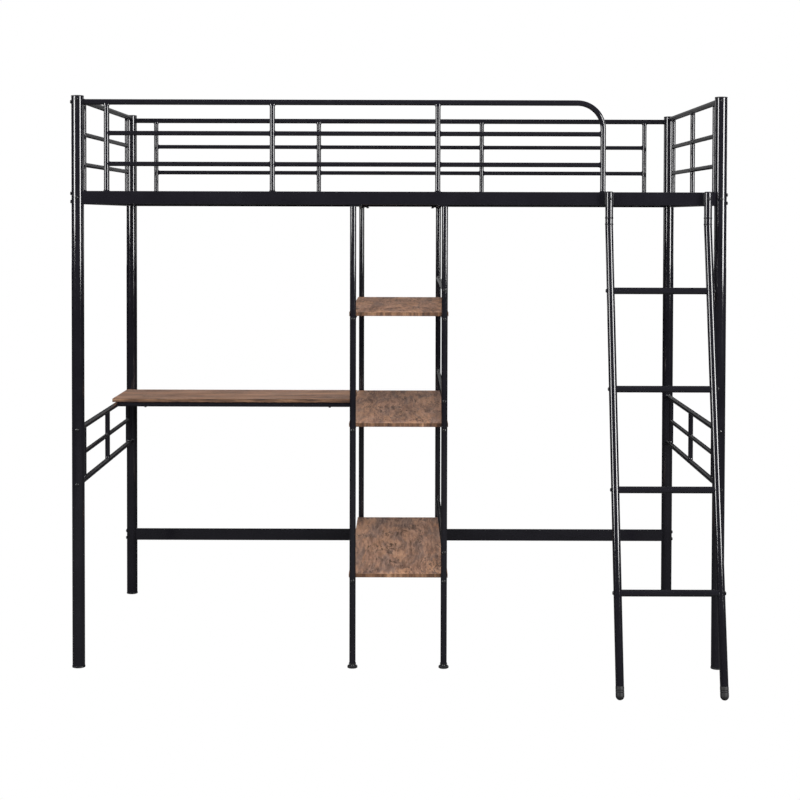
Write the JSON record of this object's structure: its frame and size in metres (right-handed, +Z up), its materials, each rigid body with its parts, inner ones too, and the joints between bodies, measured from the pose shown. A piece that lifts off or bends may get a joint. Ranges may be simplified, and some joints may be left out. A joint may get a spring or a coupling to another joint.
{
  "type": "loft bed with desk",
  "caption": "Tubular steel loft bed with slatted platform, guard rails, leaning ladder, wood-look desk and an open shelf tower underneath.",
  "frame": {"origin": "centre of the bounding box on the floor, ladder feet included", "axes": "+X to the right along the bed's length, +Y from the ladder side to the rear, +Z up"},
  "size_m": [1.9916, 1.3867, 1.74],
  "materials": {
    "black_steel": "gloss black powder coat on steel tube",
    "black_bolts": "black coated steel",
    "black_plastic": "moulded, fine satin",
    "black_rubber": "matt moulded",
    "plain_steel": "zinc plated",
    "wood_board": "rustic brown wood-grain laminate on particle board"
  },
  "bodies": {
    "frame": {"post_front_left": "black_steel", "post_front_right": "black_steel", "post_rear_left": "black_steel", "post_rear_right": "black_steel", "side_rail_front": "black_steel", "side_rail_rear": "black_steel", "end_rail_left": "black_steel", "end_rail_right": "black_steel", "rear_stretcher": "black_steel", "slat_ledges": "black_steel", "slats": "black_steel", "front_guard_top_tube": "black_steel", "front_guard_uprights": "black_steel", "front_guard_bars": "black_steel", "rear_guard_top_tube": "black_steel", "rear_guard_uprights": "black_steel", "rear_guard_bars": "black_steel", "end_guard_left_top_bar": "black_steel", "end_guard_left_uprights": "black_steel", "end_guard_left_bars": "black_steel", "end_guard_right_top_bar": "black_steel", "end_guard_right_uprights": "black_steel", "end_guard_right_bars": "black_steel", "lower_end_left_rails": "black_steel", "lower_end_left_uprights": "black_steel", "lower_end_left_bars": "black_steel", "lower_end_right_rails": "black_steel", "lower_end_right_uprights": "black_steel", "lower_end_right_bars": "black_steel", "shelf_post_front_left": "black_steel", "shelf_post_front_right": "black_steel", "shelf_post_rear_left": "black_steel", "shelf_post_rear_right": "black_steel", "shelf_support_bars": "black_steel", "shelf_side_bars": "black_steel", "shelf_tabs": "black_steel", "desk_bars": "black_steel", "ladder_leg_left": "black_steel", "ladder_leg_right": "black_steel", "ladder_rungs": "black_steel", "ladder_hooks": "black_steel", "post_top_caps": "black_plastic", "post_foot_caps": "black_plastic", "shelf_foot_inserts": "black_plastic", "ladder_feet": "black_rubber", "rail_end_inserts": "plain_steel", "tube_end_inserts": "plain_steel", "shelf_bottom": "wood_board", "shelf_middle": "wood_board", "shelf_top": "wood_board", "desk_top": "wood_board", "frame_bolts": "black_bolts", "panel_bolts": "black_bolts", "shelf_bolts": "black_bolts", "ladder_bolts": "black_bolts", "board_screws": "black_bolts"},
    "left_foot_stem": {"foot_stem_left": "plain_steel"},
    "left_foot_pad": {"foot_pad_left": "black_plastic"},
    "right_foot_stem": {"foot_stem_right": "plain_steel"},
    "right_foot_pad": {"foot_pad_right": "black_plastic"}
  },
  "joints": [
    {"name": "left_foot_screw", "type": "slide", "parent": "frame", "child": "left_foot_stem", "axis": [0, 0, -1], "range_m": [0, 0.012]},
    {"name": "left_pad_swivel", "type": "hinge", "parent": "left_foot_stem", "child": "left_foot_pad", "pos_m": [-0.139, -0.33887, 0.0082], "axis": [0, 0, 1], "continuous": true},
    {"name": "right_foot_screw", "type": "slide", "parent": "frame", "child": "right_foot_stem", "axis": [0, 0, -1], "range_m": [0, 0.012]},
    {"name": "right_pad_swivel", "type": "hinge", "parent": "right_foot_stem", "child": "right_foot_pad", "pos_m": [0.139, -0.33887, 0.0082], "axis": [0, 0, 1], "continuous": true}
  ]
}
